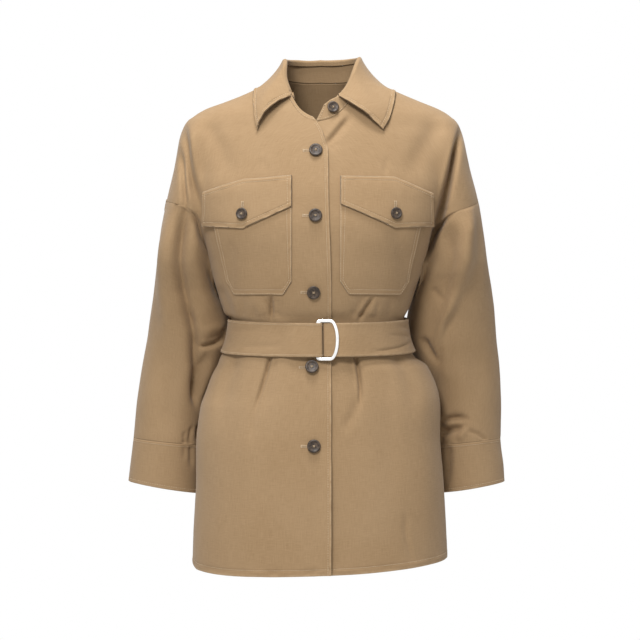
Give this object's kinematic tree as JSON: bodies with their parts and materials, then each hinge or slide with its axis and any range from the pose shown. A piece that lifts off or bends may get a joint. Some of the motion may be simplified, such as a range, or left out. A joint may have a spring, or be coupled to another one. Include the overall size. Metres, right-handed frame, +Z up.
{
  "type": "belted jacket",
  "caption": "Belted cotton jacket with a turned-down collar, buttoned front, patch chest pockets under pointed flaps, cuffed sleeves and a cloth belt drawn through D-rings.",
  "frame": {"origin": "inside the neck opening, at the base of the neck, where the wearer's shoulders hold the jacket up", "axes": "+Z up along the wearer's height, -Y to the front, +X to the wearer's left"},
  "size_m": [0.5796, 0.28, 0.7802],
  "materials": {
    "khaki_cloth": "plain washed cotton, matt",
    "ring_metal": "bright plated",
    "button_horn": "mottled horn-like resin, half gloss"
  },
  "bodies": {
    "root": {"front_right": "khaki_cloth", "front_left": "khaki_cloth", "back": "khaki_cloth", "sleeve_right": "khaki_cloth", "sleeve_left": "khaki_cloth", "cuff_right": "khaki_cloth", "cuff_left": "khaki_cloth", "collar_stand": "khaki_cloth", "collar_leaf": "khaki_cloth", "pocket_right": "khaki_cloth", "pocket_left": "khaki_cloth", "flap_right": "khaki_cloth", "flap_left": "khaki_cloth", "belt": "khaki_cloth", "ring_inner": "ring_metal", "ring_outer": "ring_metal", "button_1": "button_horn", "button_2": "button_horn", "button_3": "button_horn", "button_4": "button_horn", "button_5": "button_horn", "button_collar": "button_horn", "button_flap_right": "button_horn", "button_flap_left": "button_horn"}
  },
  "joints": []
}
